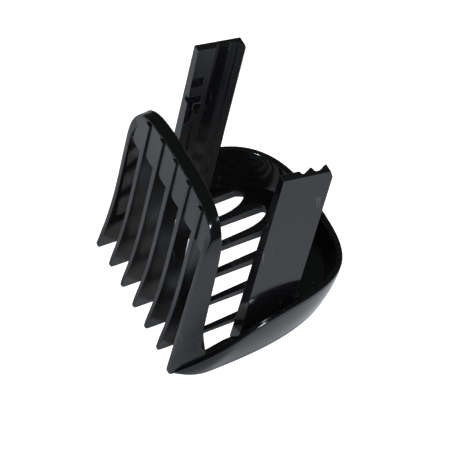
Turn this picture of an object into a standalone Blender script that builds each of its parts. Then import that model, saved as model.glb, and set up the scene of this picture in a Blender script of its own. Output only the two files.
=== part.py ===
"""Adjustable hair-clipper guide comb, modelled as its separate members.

World frame: +Z up, the flat slotted sole on Z = 0, the tooth tips towards -X, the bowl towards +X,
and the mirror plane at Y = 0. The origin is below the middle of the bounding box. The teeth and the
two arms lean rearwards, so they are modelled upright in a leaned frame (the empty `lean`), whose
local X is the depth behind the tooth tips, local Y the width and local Z the height along the teeth.
"""

import math

import bmesh
import bpy
from mathutils import Matrix, Vector

# Driving dimensions, in metres.
TOOTH_COUNT = 7
TOOTH_PITCH = 0.0075
COMB_DEPTH = 0.0548  # tooth tips to the rear of the rim
LEAN = math.radians(13.0)  # of the teeth and arms, away from the sole's normal
GAP = 0.0003  # between members that touch on the moulding

# Teeth: the front edge, the rear edge and the thickness, at the tip and under the crest.
TOOTH_FRONT_TOP = 0.0021
TOOTH_REAR_FOOT, TOOTH_REAR_TOP = 0.0076, 0.0058
TOOTH_THICK_FOOT, TOOTH_THICK_TOP = 0.0013, 0.0019
END_TOOTH_TOP = 0.0418
TIP_RADIUS = 0.0012
TIP_LEAD = -0.00036  # depth of the tip's nose, ahead of the leaned frame's origin
TIP_CENTRE_HEIGHT = 0.00156  # of the nose's round
TIP_STEPS = 4

# Crest bar: an arch over the teeth whose two ends turn down into the outer teeth.
CREST_HALF_WIDTH = 0.0235
CREST_LOW, CREST_TOP = 0.0422, 0.0546
CREST_FRONT, CREST_FRONT_TOP = 0.0023, 0.0027
CREST_REAR = 0.0058
CREST_SLOPE_RISE = 0.0019  # of its top face, front to rear
CREST_ARCH_POWER = 2.9
CREST_STATIONS = 48
CREST_THICK_SIDE, CREST_THICK_TOP = 0.0022, 0.0036
CREST_HALF_WIDTH_INSIDE = CREST_HALF_WIDTH - CREST_THICK_SIDE
CREST_TOP_INSIDE = CREST_TOP - CREST_THICK_TOP

# Webs: thin panels that close the spaces between the teeth just below the crest.
WEB_BOTTOM = 0.0424
WEB_BOTTOM_DROP = 3.4  # height lost for each squared metre of distance from the middle
WEB_FRONT, WEB_THICK = 0.0027, 0.0013
WEB_TOP_STEPS = 6

# Runner bars of the sole, from the teeth back to the rear landing.
BAR_WIDTH_FRONT, BAR_WIDTH_REAR = 0.0012, 0.0025
BAR_HEIGHT_FRONT, BAR_HEIGHT_REAR = 0.0010, 0.0024
BAR_START = 0.0081

# Sole ring: two side sills and the rear landing, inside the skirt.
SILL_INNER = 0.0216
SLOT_END_REACH = 0.0474  # where the middle slots would end on the centre line
SLOT_END_CURVE = 10.3  # reach lost for each squared metre of distance from the middle
RING_HEIGHT = 0.0027
RING_FRONT = 0.0085
LANDING_STEPS = 16

# Skirt: outer outline at the sole and at the rim, as (rear reach, fullest station, half width,
# roundness of the rear, half width at the front end, fullness of the front run).
SOLE_OUTLINE = (0.0534, 0.0105, 0.0277, 2.75, 0.0240, 2.3)
RIM_OUTLINE = (0.0548, 0.0183, 0.0292, 3.10, 0.0240, 2.1)
RIM_HEIGHT = (-0.00035, 0.870, -11.9)  # height over depth: constant, slope and curvature
SKIRT_FRONT = 0.0012
SKIRT_THICK, SKIRT_TIP_THICK = 0.0017, 0.0006
SKIRT_FULL_THICK_AT = 0.0095
SKIRT_SOLE_CHAMFER = 0.0009
SKIRT_CHAMFER_SHARE = (0.45, 0.3)  # at most these shares of the wall's thickness and height
SKIRT_FRONT_RUN = 0.35  # share of the outline's stations ahead of its fullest one
SKIRT_STATIONS = 96

# Arms: flat outer face, panel and rail floor thickness, and the reach of each along the teeth.
ARM_FRONT, ARM_REAR = 0.0172, 0.0310
ARM_OUTER = 0.0247
ARM_TOP = 0.0656
ARM_PANEL_REAR, RAIL_FLOOR_FRONT = 0.0226, 0.0231
PANEL_THICK_TOP, PANEL_THICK_ROOT = 0.0022, 0.0040
RAIL_FLOOR_THICK = 0.0012
ARM_CORNER = (0.0009, 0.0020)
FLEX_HEIGHT = 0.0200  # above the sole: the blade bends from here up
ROOT_BOTTOM = RING_HEIGHT + GAP
ROOT_CHAMFER = (0.0012, 0.0070)  # off the foot's outer corner: across and up
# Rails: (front foot, crest, rear foot) as depths, and how far the crest stands over the outer face.
RAILS = {"front": (0.0234, 0.0256, 0.0264), "rear": (0.0272, 0.0301, 0.0310)}
RAIL_CREST = 0.0028
# Pockets in the panel's inner face: (front, rear, bottom, top).
WINDOW_POCKET = (0.0179, 0.0207, 0.0532, 0.0565)
DETENT_CHANNEL = (0.0183, 0.0213, 0.0302, 0.0502)
POCKET_DEPTH = 0.0008
DETENT_TAB = (0.0186, 0.0210, 0.0462, 0.0487)
DETENT_TAB_THICK, DETENT_TAB_ROUND = 0.0013, 0.0003
RAIL_TOP_INSET, RAIL_BOTTOM_INSET = 0.0008, 0.0006

# Gussets tie each arm root's rear corner to the skirt.
GUSSET_THICK = 0.0014
GUSSET_BOTTOM, GUSSET_TOP = 0.0080, 0.0150

BLACK = (0.012, 0.012, 0.013, 1.0)
SATIN = (0.022, 0.022, 0.024, 1.0)


def clear_scene():
    """Remove every object of the open file."""
    for obj in list(bpy.data.objects):
        bpy.data.objects.remove(obj, do_unlink=True)


def new_collection(name, hidden=False):
    """A collection in the scene, for the parts or for the cutters."""
    made = bpy.data.collections.new(name)
    made.hide_render = hidden
    bpy.context.scene.collection.children.link(made)
    return made


def plastic(name, colour, roughness):
    """A Principled material for a moulded member."""
    made = bpy.data.materials.new(name)
    made.use_nodes = True
    shader = made.node_tree.nodes["Principled BSDF"]
    shader.inputs["Base Color"].default_value = colour
    shader.inputs["Roughness"].default_value = roughness
    shader.inputs["Metallic"].default_value = 0.0
    return made


def finish_object(name, bm, collection, material, parent=None):
    """Turn a bmesh into a named object with its own material."""
    bmesh.ops.remove_doubles(bm, verts=bm.verts, dist=1e-7)
    bmesh.ops.recalc_face_normals(bm, faces=bm.faces)
    mesh = bpy.data.meshes.new(name)
    bm.to_mesh(mesh)
    bm.free()
    obj = bpy.data.objects.new(name, mesh)
    collection.objects.link(obj)
    if material is not None:
        mesh.materials.append(material)
    obj.parent = parent
    return obj


def add_bevel(obj, width, segments=2, angle=35.0):
    """Round the object's sharp edges."""
    bevel = obj.modifiers.new("edge_round", "BEVEL")
    bevel.width = width
    bevel.segments = segments
    bevel.limit_method = "ANGLE"
    bevel.angle_limit = math.radians(angle)


def upright_prism(outline, low, high):
    """A prism over a (depth, width) outline, between two heights."""
    bm = bmesh.new()
    face = bm.faces.new([bm.verts.new((x, y, low)) for x, y in outline])
    grown = bmesh.ops.extrude_face_region(bm, geom=[face])
    top = [v for v in grown["geom"] if isinstance(v, bmesh.types.BMVert)]
    bmesh.ops.translate(bm, verts=top, vec=(0, 0, high - low))
    return bm


def side_plate(outline, thickness):
    """A plate over a (depth, height) outline, centred across the width."""
    bm = bmesh.new()
    face = bm.faces.new([bm.verts.new((x, -thickness / 2, z)) for x, z in outline])
    grown = bmesh.ops.extrude_face_region(bm, geom=[face])
    far = [v for v in grown["geom"] if isinstance(v, bmesh.types.BMVert)]
    bmesh.ops.translate(bm, verts=far, vec=(0, thickness, 0))
    return bm


def keep_side(bm, point, normal):
    """Cut a closed bmesh with a plane, drop what lies beyond it and close the cut."""
    geom = list(bm.verts) + list(bm.edges) + list(bm.faces)
    cut = bmesh.ops.bisect_plane(
        bm, geom=geom, plane_co=point, plane_no=normal, clear_outer=True, dist=1e-7
    )
    edges = [e for e in cut["geom_cut"] if isinstance(e, bmesh.types.BMEdge)]
    bmesh.ops.edgeloop_fill(bm, edges=edges)


def box(low, high):
    """A box between two corners."""
    bm = bmesh.new()
    bmesh.ops.create_cube(bm, size=1.0)
    size = Vector(high) - Vector(low)
    bmesh.ops.scale(bm, verts=bm.verts, vec=size)
    bmesh.ops.translate(bm, verts=bm.verts, vec=(Vector(high) + Vector(low)) / 2)
    return bm


def blend(low, high, share):
    """The value that lies at a share of the way from low to high."""
    return low + (high - low) * min(max(share, 0.0), 1.0)


def tooth_y(number):
    """Width position of tooth 1 (far side) to tooth 7 (near side)."""
    return ((TOOTH_COUNT + 1) / 2 - number) * TOOTH_PITCH


def sole_height(depth):
    """Height, in the leaned frame, of the sole plane at a depth."""
    return depth * math.tan(LEAN)


def outline_point(shape, share, side):
    """A point of the skirt's outline: share 0 is its front end and 1 its rearmost point."""
    reach, fullest, half_width, roundness, front_half_width, fullness = shape
    if share < SKIRT_FRONT_RUN:
        run = share / SKIRT_FRONT_RUN
        depth = SKIRT_FRONT + (fullest - SKIRT_FRONT) * run
        return depth, side * (half_width - (half_width - front_half_width) * (1 - run) ** fullness)
    angle = math.pi / 2 * (share - SKIRT_FRONT_RUN) / (1 - SKIRT_FRONT_RUN)
    depth = fullest + (reach - fullest) * math.sin(angle) ** (2 / roundness)
    return depth, side * half_width * math.cos(angle) ** (2 / roundness)


def rim_height(depth):
    """Height of the rim over the sole at a depth behind the tooth tips."""
    base, slope, curvature = RIM_HEIGHT
    return base + slope * depth + curvature * depth * depth


def skirt_stations(shape):
    """The outline from the near front end round the rear to the far front end."""
    half = SKIRT_STATIONS // 2
    near = [outline_point(shape, i / half, -1) for i in range(half + 1)]
    far = [outline_point(shape, i / half, 1) for i in range(half)]
    return near + far[::-1]


def inward(points, index):
    """Unit vector at a station of an outline, square to it and pointing into the bowl."""
    before = Vector(points[max(index - 1, 0)])
    after = Vector(points[min(index + 1, len(points) - 1)])
    along = (after - before).normalized()
    return Vector((-along.y, along.x))


def wall_thickness(depth):
    """The skirt's wall, which thins out towards its front ends."""
    share = (depth - SKIRT_FRONT) / (SKIRT_FULL_THICK_AT - SKIRT_FRONT)
    return blend(SKIRT_TIP_THICK, SKIRT_THICK, share)


def wall_section(sole, rim, index):
    """The skirt's section at a station, outer side first, as world points."""
    foot, lip = Vector(sole[index]), Vector(rim[index])
    top = rim_height(lip.x)
    foot_in, lip_in = inward(sole, index), inward(rim, index)
    thick_foot, thick_lip = wall_thickness(foot.x), wall_thickness(lip.x)
    of_thickness, of_height = SKIRT_CHAMFER_SHARE
    chamfer = min(SKIRT_SOLE_CHAMFER, thick_foot * of_thickness, top * of_height)
    section = [
        (foot + foot_in * chamfer, 0.0),
        (foot, chamfer),
        (lip, top),
        (lip + lip_in * thick_lip, top),
        (foot + foot_in * thick_foot, min(RING_HEIGHT, top * 0.5)),
        (foot + foot_in * thick_foot, 0.0),
    ]
    return [Vector((p.x - COMB_DEPTH / 2, p.y, z)) for p, z in section]


def make_skirt(parts, material):
    """The flared wall round the bowl, lofted from the sole's outline to the rim's."""
    sole, rim = skirt_stations(SOLE_OUTLINE), skirt_stations(RIM_OUTLINE)
    bm = bmesh.new()
    rings = [[bm.verts.new(p) for p in wall_section(sole, rim, i)] for i in range(len(sole))]
    count = len(rings[0])
    for ring, following in zip(rings, rings[1:]):
        for j in range(count):
            k = (j + 1) % count
            bm.faces.new((ring[j], ring[k], following[k], following[j]))
    bm.faces.new(rings[0])
    bm.faces.new(rings[-1])
    return finish_object("skirt_wall", bm, parts, material)


def slot_end(width):
    """Depth at which the slots end, on an arc concentric with the bowl."""
    return SLOT_END_REACH - SLOT_END_CURVE * width * width


def ring_outline():
    """The sole ring's plan: round the inside of the skirt, then back along sills and landing."""
    sole = skirt_stations(SOLE_OUTLINE)
    outer = []
    for i, (x, y) in enumerate(sole):
        if x < RING_FRONT:
            continue
        point = Vector((x, y)) + inward(sole, i) * (SKIRT_THICK + GAP)
        outer.append((point.x, point.y))
    widths = [SILL_INNER * (1 - 2 * i / LANDING_STEPS) for i in range(LANDING_STEPS + 1)]
    inner = [(RING_FRONT, SILL_INNER)]
    inner += [(slot_end(w), w) for w in widths]
    inner += [(RING_FRONT, -SILL_INNER)]
    return outer + inner


def make_sole_ring(parts, material):
    """The two side sills and the rear landing that the runner bars run into."""
    outline = [(x - COMB_DEPTH / 2, y) for x, y in ring_outline()]
    bm = upright_prism(outline, 0.0, RING_HEIGHT)
    return finish_object("sole_ring", bm, parts, material)


def make_bar(number, parts, material):
    """A runner bar, which grows wider and taller towards the rear."""
    y = tooth_y(number)
    start = BAR_START
    end = slot_end(abs(y) + BAR_WIDTH_REAR / 2) - GAP
    bm = box((start, y - 0.5, 0.0), (end, y + 0.5, 1.0))
    for vert in bm.verts:
        rear = vert.co.x > (start + end) / 2
        width = BAR_WIDTH_REAR if rear else BAR_WIDTH_FRONT
        height = BAR_HEIGHT_REAR if rear else BAR_HEIGHT_FRONT
        vert.co.y = y + (vert.co.y - y) * width
        vert.co.z *= height
    bmesh.ops.translate(bm, verts=bm.verts, vec=(-COMB_DEPTH / 2, 0, 0))
    return finish_object(f"runner_bar_{number}", bm, parts, material)


def crest_underside(width):
    """Height of the crest bar's inner edge at a distance from the middle."""
    share = min(abs(width) / CREST_HALF_WIDTH_INSIDE, 1.0)
    rise = (1 - share**CREST_ARCH_POWER) ** (1 / CREST_ARCH_POWER)
    return CREST_LOW + (CREST_TOP_INSIDE - CREST_LOW) * rise


def tooth_outline(top):
    """A tooth's side view: a rounded tip, a straight front edge and a rear edge."""
    share = top / CREST_TOP_INSIDE
    tip = []
    for step in range(TIP_STEPS + 1):
        angle = -math.pi / 2 * (1 + step / TIP_STEPS)
        depth = TIP_LEAD + TIP_RADIUS * (1 + math.cos(angle))
        tip.append((depth, TIP_CENTRE_HEIGHT + TIP_RADIUS * math.sin(angle)))
    rear_foot_height = sole_height(TOOTH_REAR_FOOT)
    rear_top = blend(TOOTH_REAR_FOOT, TOOTH_REAR_TOP, share)
    return [(TOOTH_REAR_FOOT, rear_foot_height)] + tip + [(TOOTH_FRONT_TOP * share, top), (rear_top, top)]


def make_tooth(number, parts, material, lean):
    """One tooth, thinner at its tip than under the crest."""
    y = tooth_y(number)
    outermost = number in (1, TOOTH_COUNT)
    top = END_TOOTH_TOP if outermost else crest_underside(abs(y) + TOOTH_THICK_TOP / 2) - GAP
    bm = side_plate(tooth_outline(top), TOOTH_THICK_TOP)
    for vert in bm.verts:
        thickness = blend(TOOTH_THICK_FOOT, TOOTH_THICK_TOP, vert.co.z / CREST_TOP_INSIDE)
        vert.co.y *= thickness / TOOTH_THICK_TOP
    obj = finish_object(f"tooth_{number}", bm, parts, material, lean)
    obj.location.y = y
    return obj


def crest_line(angle, half_width, top):
    """A point of the crest's arch: angle 0 is the near foot and pi the far foot."""
    power = 2 / CREST_ARCH_POWER
    cos, sin = math.cos(angle), math.sin(angle)
    across = -math.copysign(abs(cos) ** power, cos) * half_width
    return across, CREST_LOW + (top - CREST_LOW) * abs(sin) ** power


def make_crest(parts, material, lean):
    """The crest bar, swept over the teeth."""
    bm = bmesh.new()
    rings = []
    for i in range(CREST_STATIONS + 1):
        angle = math.pi * i / CREST_STATIONS
        y_out, z_out = crest_line(angle, CREST_HALF_WIDTH, CREST_TOP)
        y_in, z_in = crest_line(angle, CREST_HALF_WIDTH_INSIDE, CREST_TOP_INSIDE)
        rise = CREST_SLOPE_RISE * max(math.sin(angle), 0.0)
        ring = [
            (CREST_FRONT, y_in, z_in),
            (CREST_FRONT_TOP, y_out, z_out - rise),
            (CREST_REAR, y_out, z_out),
            (CREST_REAR, y_in, z_in),
        ]
        rings.append([bm.verts.new(p) for p in ring])
    for ring, following in zip(rings, rings[1:]):
        for j in range(4):
            k = (j + 1) % 4
            bm.faces.new((ring[j], ring[k], following[k], following[j]))
    bm.faces.new(rings[0])
    bm.faces.new(rings[-1])
    return finish_object("crest_bar", bm, parts, material, lean)


def make_web(number, parts, material, lean):
    """The panel between tooth `number` and the next one, with its top under the crest's arch."""
    middle = (tooth_y(number) + tooth_y(number + 1)) / 2
    half = (TOOTH_PITCH - TOOTH_THICK_TOP) / 2 - GAP
    widths = [middle + half * (1 - 2 * i / WEB_TOP_STEPS) for i in range(WEB_TOP_STEPS + 1)]
    top = [(y, crest_underside(y) - GAP) for y in widths]
    bottom = [(y, WEB_BOTTOM - WEB_BOTTOM_DROP * y * y) for y in (widths[-1], widths[0])]
    bm = bmesh.new()
    face = bm.faces.new([bm.verts.new((WEB_FRONT, y, z)) for y, z in top + bottom])
    grown = bmesh.ops.extrude_face_region(bm, geom=[face])
    rear = [v for v in grown["geom"] if isinstance(v, bmesh.types.BMVert)]
    bmesh.ops.translate(bm, verts=rear, vec=(WEB_THICK, 0, 0))
    return finish_object(f"web_{number}", bm, parts, material, lean)


def arm_section(thickness):
    """An arm's plan section as (depth, thickness inwards from the outer face)."""
    return [
        (ARM_FRONT, 0.0),
        (ARM_REAR, 0.0),
        (ARM_REAR, RAIL_FLOOR_THICK),
        (RAIL_FLOOR_FRONT, RAIL_FLOOR_THICK),
        (ARM_PANEL_REAR, thickness),
        (ARM_FRONT, thickness),
    ]


def panel_thickness(height):
    """The panel's thickness, which grows from the arm's top to its root."""
    return blend(PANEL_THICK_ROOT, PANEL_THICK_TOP, height / ARM_TOP)


def arm_bmesh(side):
    """The whole arm in the leaned frame, before it is cut into root and blade."""
    bm = upright_prism(arm_section(1.0), -0.002, ARM_TOP)
    for vert in bm.verts:
        inset = panel_thickness(vert.co.z) if vert.co.y > 0.5 else vert.co.y
        vert.co.y = side * (ARM_OUTER - inset)
    corner = Vector((ARM_REAR - ARM_CORNER[0], 0, ARM_TOP))
    keep_side(bm, corner, Vector((ARM_CORNER[1], 0, ARM_CORNER[0])))
    return bm


def sole_plane(height):
    """A plane at a height over the sole, as point and normal in the leaned frame."""
    normal = Vector((-math.sin(LEAN), 0, math.cos(LEAN)))
    return normal * height, normal


def chamfer_root(bm, side):
    """Take off the root's lower outer corner, which stands clear of the skirt's foot."""
    across, up = ROOT_CHAMFER
    point = Matrix.Rotation(-LEAN, 3, "Y") @ Vector((0, side * (ARM_OUTER - across), ROOT_BOTTOM))
    normal = Matrix.Rotation(-LEAN, 3, "Y") @ Vector((0, side * up, -across))
    keep_side(bm, point, normal)


def cut_with(obj, low, high, side, cutters, parent, name):
    """Sink a pocket into the inner face of an arm."""
    y_low, y_high = sorted((side * low[1], side * high[1]))
    bm = box((low[0], y_low, low[2]), (high[0], y_high, high[2]))
    cutter = finish_object(name, bm, cutters, None, parent)
    cutter.display_type = "WIRE"
    cutter.hide_render = True
    cut = obj.modifiers.new(name, "BOOLEAN")
    cut.operation = "DIFFERENCE"
    cut.object = cutter


def make_pockets(blade, side, label, cutters, parent):
    """The window pocket and the detent channel in a blade's panel."""
    for title, pocket in (("window", WINDOW_POCKET), ("channel", DETENT_CHANNEL)):
        front, rear, low, high = pocket
        face = ARM_OUTER - panel_thickness((low + high) / 2)
        depth_low, depth_high = (front, face - 0.002, low), (rear, face + POCKET_DEPTH, high)
        cut_with(blade, depth_low, depth_high, side, cutters, parent, f"{title}_cutter_{label}")


def make_rail(label, position, side, parts, material, parent):
    """A V-shaped rail on the inner face of an arm, above the plane that the blade bends from."""
    front, crest, rear = RAILS[position]
    foot = RAIL_FLOOR_THICK + GAP
    section = [(front, foot), (rear, foot), (crest, RAIL_CREST)]
    bm = upright_prism([(x, side * (ARM_OUTER - t)) for x, t in section], 0.0, ARM_TOP - RAIL_TOP_INSET)
    point, normal = sole_plane(FLEX_HEIGHT + RAIL_BOTTOM_INSET)
    keep_side(bm, point, -normal)
    corner = Vector((ARM_REAR - ARM_CORNER[0] - GAP, 0, ARM_TOP - GAP))
    keep_side(bm, corner, Vector((ARM_CORNER[1], 0, ARM_CORNER[0])))
    return finish_object(f"rail_{position}_{label}", bm, parts, material, parent)


def make_arm(label, side, parts, cutters, materials, lean):
    """One arm: its fixed root, its springy blade, two rails and a detent tab."""
    root_bm = arm_bmesh(side)
    for height, sense in ((ROOT_BOTTOM, -1), (FLEX_HEIGHT - GAP / 2, 1)):
        point, normal = sole_plane(height)
        keep_side(root_bm, point, normal * sense)
    chamfer_root(root_bm, side)
    finish_object(f"arm_root_{label}", root_bm, parts, materials["gloss"], lean)

    blade_bm = arm_bmesh(side)
    point, normal = sole_plane(FLEX_HEIGHT + GAP / 2)
    keep_side(blade_bm, point, -normal)
    pivot = bpy.data.objects.new(f"flex_axis_{label}", None)
    parts.objects.link(pivot)
    pivot.parent = lean
    pivot_height = (FLEX_HEIGHT + (ARM_FRONT + ARM_REAR) / 2 * math.sin(LEAN)) / math.cos(LEAN)
    middle = ARM_OUTER - panel_thickness(pivot_height) / 2
    pivot.location = ((ARM_FRONT + ARM_REAR) / 2, side * middle, pivot_height)
    to_pivot = Matrix.Translation(-pivot.location)
    blade_bm.transform(to_pivot)
    blade = finish_object(f"arm_blade_{label}", blade_bm, parts, materials["satin"], pivot)

    holder = bpy.data.objects.new(f"arm_frame_{label}", None)
    parts.objects.link(holder)
    holder.parent = pivot
    holder.location = -pivot.location
    make_pockets(blade, side, label, cutters, holder)
    for position in RAILS:
        make_rail(label, position, side, parts, materials["gloss"], holder)

    front, rear, low, high = DETENT_TAB
    face = ARM_OUTER - panel_thickness((low + high) / 2) + POCKET_DEPTH - GAP
    y_low, y_high = sorted((side * (face - DETENT_TAB_THICK), side * face))
    tab_bm = box((front, y_low, low), (rear, y_high, high))
    tab = finish_object(f"detent_tab_{label}", tab_bm, parts, materials["gloss"], holder)
    add_bevel(tab, DETENT_TAB_ROUND)


def skirt_inner_half_width(depth, height):
    """Half width of the skirt's inner face at a depth and a height over the sole."""
    best = None
    sole, rim = skirt_stations(SOLE_OUTLINE), skirt_stations(RIM_OUTLINE)
    for i in range(SKIRT_STATIONS // 2 + 1):
        share = min(max(height / max(rim_height(rim[i][0]), 1e-6), 0.0), 1.0)
        point = Vector(sole[i]).lerp(Vector(rim[i]), share)
        distance = abs(point.x - depth)
        if best is None or distance < best[0]:
            best = (distance, abs(point.y))
    return best[1] - SKIRT_THICK


def make_gusset(label, side, parts, material):
    """The small rib between an arm root's rear outer corner and the skirt."""
    bm = bmesh.new()
    for height in (GUSSET_BOTTOM, GUSSET_TOP):
        for depth in (ARM_REAR - GUSSET_THICK, ARM_REAR):
            behind = (depth + height * math.sin(LEAN)) / math.cos(LEAN)
            wall = skirt_inner_half_width(behind, height) - 2 * GAP
            for width in (ARM_OUTER + GAP, wall):
                bm.verts.new((behind - COMB_DEPTH / 2, side * width, height))
    bmesh.ops.convex_hull(bm, input=bm.verts)
    return finish_object(f"gusset_{label}", bm, parts, material)


def main():
    """Build every member of the comb."""
    clear_scene()
    parts = new_collection("clipper_guide_comb")
    cutters = new_collection("cutters", hidden=True)
    materials = {
        "gloss": plastic("gloss_black_plastic", BLACK, 0.12),
        "satin": plastic("satin_black_plastic", SATIN, 0.30),
    }
    lean = bpy.data.objects.new("lean", None)
    parts.objects.link(lean)
    lean.location.x = -COMB_DEPTH / 2
    lean.rotation_euler.y = LEAN

    make_skirt(parts, materials["satin"])
    make_sole_ring(parts, materials["gloss"])
    for number in range(2, TOOTH_COUNT):
        make_bar(number, parts, materials["gloss"])
    for number in range(1, TOOTH_COUNT + 1):
        make_tooth(number, parts, materials["gloss"], lean)
    make_crest(parts, materials["gloss"], lean)
    for number in range(1, TOOTH_COUNT):
        make_web(number, parts, materials["satin"], lean)
    for label, side in (("near", -1), ("far", 1)):
        make_arm(label, side, parts, cutters, materials, lean)
        make_gusset(label, side, parts, materials["gloss"])


main()
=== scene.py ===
"""Looks of the clipper guard comb: one glossy black moulding, member by member.

Each class builds one sub-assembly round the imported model. Lengths are in metres. The teeth, crest,
webs and arms lean rearwards, so they are shaped in a leaned frame (depth behind the tooth tips,
width, height along the teeth) and then turned into the model's own frame.
"""

import logging
import math
from collections.abc import Iterable
from dataclasses import dataclass
from enum import Enum

import bmesh
import bpy
from mathutils import Matrix, Vector


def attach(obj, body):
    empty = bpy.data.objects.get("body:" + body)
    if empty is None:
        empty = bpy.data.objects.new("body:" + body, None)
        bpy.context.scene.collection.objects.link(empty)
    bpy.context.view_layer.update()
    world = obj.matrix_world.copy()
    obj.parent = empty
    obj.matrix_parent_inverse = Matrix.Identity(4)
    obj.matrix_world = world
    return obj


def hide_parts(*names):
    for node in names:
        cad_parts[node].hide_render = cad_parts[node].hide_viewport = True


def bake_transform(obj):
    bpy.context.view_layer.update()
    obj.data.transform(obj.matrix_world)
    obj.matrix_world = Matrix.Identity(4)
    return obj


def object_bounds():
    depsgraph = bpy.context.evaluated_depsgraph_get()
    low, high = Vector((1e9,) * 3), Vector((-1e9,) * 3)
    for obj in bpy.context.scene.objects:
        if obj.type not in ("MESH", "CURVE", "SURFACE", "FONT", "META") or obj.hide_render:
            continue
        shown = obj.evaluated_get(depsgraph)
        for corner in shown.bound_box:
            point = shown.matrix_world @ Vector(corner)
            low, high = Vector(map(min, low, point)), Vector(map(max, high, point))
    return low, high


logger = logging.getLogger("guard_comb")

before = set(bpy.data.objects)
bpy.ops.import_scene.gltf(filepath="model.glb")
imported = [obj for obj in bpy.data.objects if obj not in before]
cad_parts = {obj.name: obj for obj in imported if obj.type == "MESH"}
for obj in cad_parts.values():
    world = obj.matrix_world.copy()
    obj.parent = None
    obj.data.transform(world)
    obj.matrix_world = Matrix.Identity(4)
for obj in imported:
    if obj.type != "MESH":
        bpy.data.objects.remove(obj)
CAD_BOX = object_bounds()


class Side(Enum):
    """The two sides of the mirror plane, as the sign of the width."""

    NEAR = -1
    FAR = 1


class Slot(Enum):
    """The material slots that the record names."""

    GLOSS = "gloss_black_plastic"
    SATIN = "satin_black_plastic"


# ---------------------------------------------------------------------------------------------
# Frames and small helpers


@dataclass(frozen=True)
class LeanedFrame:
    """The frame that the teeth and arms stand upright in."""

    lean: float = math.radians(13.0)
    tip_plane: float = CAD_BOX[0][0]

    def matrix(self) -> Matrix:
        """Matrix from the leaned frame to the model's frame."""
        return Matrix.Translation((self.tip_plane, 0, 0)) @ Matrix.Rotation(self.lean, 4, "Y")

    def point(self, depth: float, width: float, height: float) -> Vector:
        """A leaned point in the model's frame."""
        return self.matrix() @ Vector((depth, width, height))

    def sole_height(self, depth: float) -> float:
        """Height of the sole plane, in the leaned frame, at a depth."""
        return depth * math.tan(self.lean)


LEANED = LeanedFrame()
COMB_BODY = "comb_body"
Element = bmesh.types.BMVert | bmesh.types.BMEdge | bmesh.types.BMFace
RIM_RISE = (-0.00035, 0.870, -11.9)
FLAT_FACE_WEIGHT = 80


def mix(low: float, high: float, share: float) -> float:
    """The value at a share of the way from low to high, held inside the two."""
    return low + (high - low) * min(max(share, 0.0), 1.0)


def smooth(share: float) -> float:
    """An S-shaped ramp from 0 to 1."""
    held = min(max(share, 0.0), 1.0)
    return held * held * (3 - 2 * held)


def rim_height(depth: float) -> float:
    """Height of the skirt's rim at a depth: a shallow parabola."""
    base, slope, curve = RIM_RISE
    return base + slope * depth + curve * depth * depth


def quarter_turn(steps: int) -> list[float]:
    """The angles from 0 to 90 degrees in even steps, in radians."""
    return [math.radians(90 / steps * i) for i in range(steps + 1)]


def loft(sections: list[list[Vector]], closed: bool = True) -> bmesh.types.BMesh:
    """Skin a row of sections that have the same number of points.

    Args:
        sections: the sections' points, in order along the piece.
        closed: whether each section is a loop whose two end sections are capped.

    Returns:
        A bmesh with the skin.
    """
    bm = bmesh.new()
    rings = []
    for section in sections:
        verts = [bm.verts.new(p) for p in section]
        edges = [bm.edges.new((a, b)) for a, b in zip(verts, verts[1:])]
        if closed:
            edges.append(bm.edges.new((verts[-1], verts[0])))
        rings.append(edges)
    for ring, following in zip(rings, rings[1:]):
        bmesh.ops.bridge_loops(bm, edges=ring + following)
    if closed:
        for ring in (rings[0], rings[-1]):
            bmesh.ops.edgeloop_fill(bm, edges=ring)
    bmesh.ops.recalc_face_normals(bm, faces=bm.faces)
    return bm


def slab(outline: list[Vector], push: Vector) -> bmesh.types.BMesh:
    """A flat outline pushed into a solid.

    Args:
        outline: the outline's points, in one plane.
        push: the move from one face to the other.

    Returns:
        A closed bmesh.
    """
    bm = bmesh.new()
    face = bm.faces.new([bm.verts.new(p) for p in outline])
    grown = bmesh.ops.extrude_face_region(bm, geom=[face])
    moved = [v for v in grown["geom"] if isinstance(v, bmesh.types.BMVert)]
    bmesh.ops.translate(bm, verts=moved, vec=push)
    bmesh.ops.recalc_face_normals(bm, faces=bm.faces)
    return bm


def arc(centre: Vector, across: Vector, up: Vector, start: float, end: float, steps: int) -> list[Vector]:
    """Points on an arc.

    Args:
        centre: the arc's centre.
        across: the radius vector at 0 degrees.
        up: the radius vector at 90 degrees.
        start: the first angle, in degrees.
        end: the last angle, in degrees.
        steps: how many steps the arc takes.

    Returns:
        The points, both ends included.
    """
    angles = [math.radians(mix(start, end, i / steps)) for i in range(steps + 1)]
    return [centre + across * math.cos(a) + up * math.sin(a) for a in angles]


def joined(*parts: bmesh.types.BMesh) -> bmesh.types.BMesh:
    """Put several meshes in one.

    Args:
        parts: the meshes, which are freed.

    Returns:
        One bmesh that holds them all.
    """
    whole = bmesh.new()
    for part in parts:
        mesh = bpy.data.meshes.new("part")
        part.to_mesh(mesh)
        whole.from_mesh(mesh)
        bpy.data.meshes.remove(mesh)
        part.free()
    return whole


def as_object(name: str, bm: bmesh.types.BMesh) -> bpy.types.Object:
    """Put a mesh in the scene.

    Args:
        name: the object's name.
        bm: its mesh, which is freed.

    Returns:
        The new object.
    """
    mesh = bpy.data.meshes.new(name)
    bm.to_mesh(mesh)
    bm.free()
    obj = bpy.data.objects.new(name, mesh)
    bpy.context.scene.collection.objects.link(obj)
    return obj


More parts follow.
